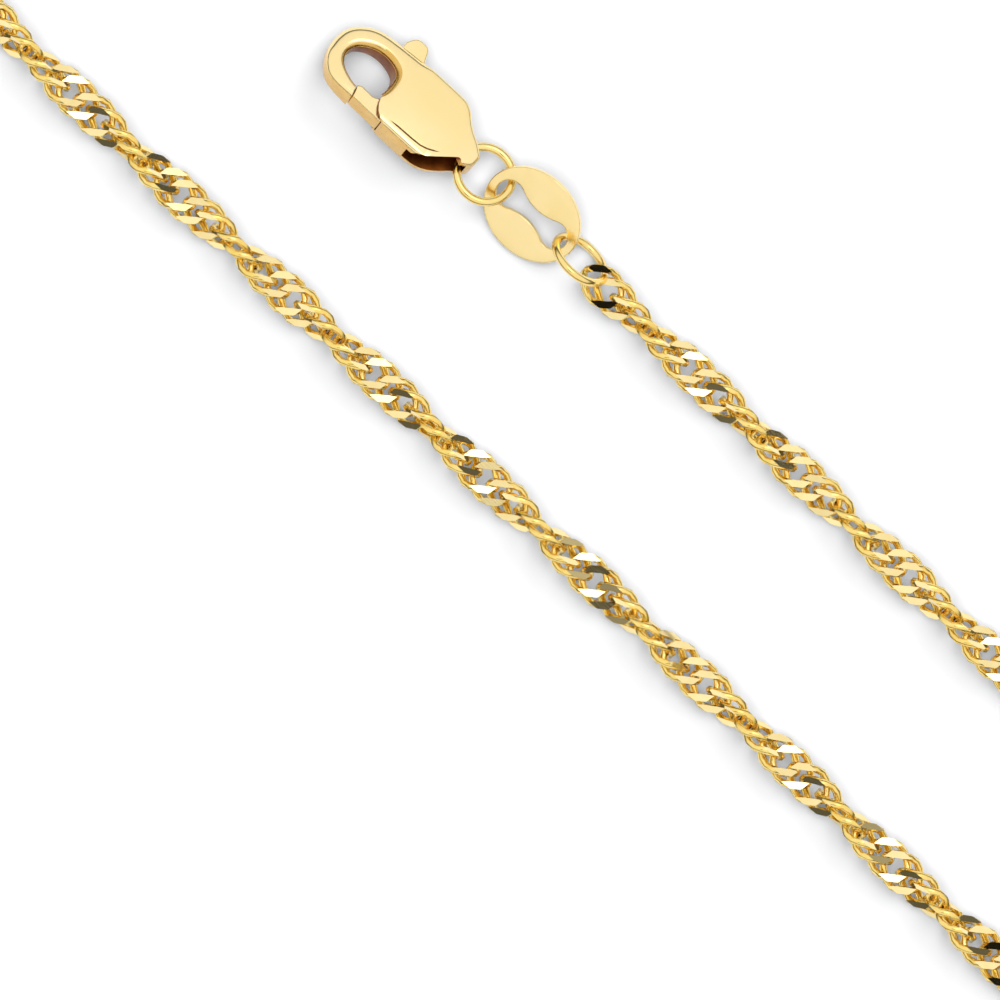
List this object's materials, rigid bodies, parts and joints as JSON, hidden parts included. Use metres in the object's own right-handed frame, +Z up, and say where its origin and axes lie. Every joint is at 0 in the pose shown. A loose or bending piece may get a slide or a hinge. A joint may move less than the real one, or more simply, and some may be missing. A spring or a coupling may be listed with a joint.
{
  "type": "singapore chain necklace",
  "caption": "Gold twisted curb chain necklace laid open in a long loop, with a lobster clasp, a jump ring and an oval end plate with a peanut-shaped slot.",
  "frame": {"origin": "on the surface that the necklace lies on, under the middle of its whole length and width", "axes": "+X along the two strands from the clasp to the round end, +Y across them towards the clasp's strand, +Z up"},
  "size_m": [0.221, 0.0618, 0.0033],
  "materials": {
    "clasp_gold": "polished",
    "ring_gold": "polished",
    "plate_gold": "polished",
    "chain_gold": "polished"
  },
  "bodies": {
    "necklace": {"clasp_body": "clasp_gold", "lever_pin": "clasp_gold", "clasp_ring": "ring_gold", "tag_plate": "plate_gold", "end_ring": "ring_gold", "chain": "chain_gold", "catch_ring": "ring_gold"},
    "lever": {"clasp_lever": "clasp_gold"}
  },
  "joints": [
    {"name": "lever_hinge", "type": "hinge", "parent": "necklace", "child": "lever", "pos_m": [-0.08159, 0.00497, 0.00194], "axis": [0, -0.342, -0.9397], "range_deg": [0, 22], "stiffness_Nm_per_rad": 0.004, "springref_deg": -11.46}
  ]
}
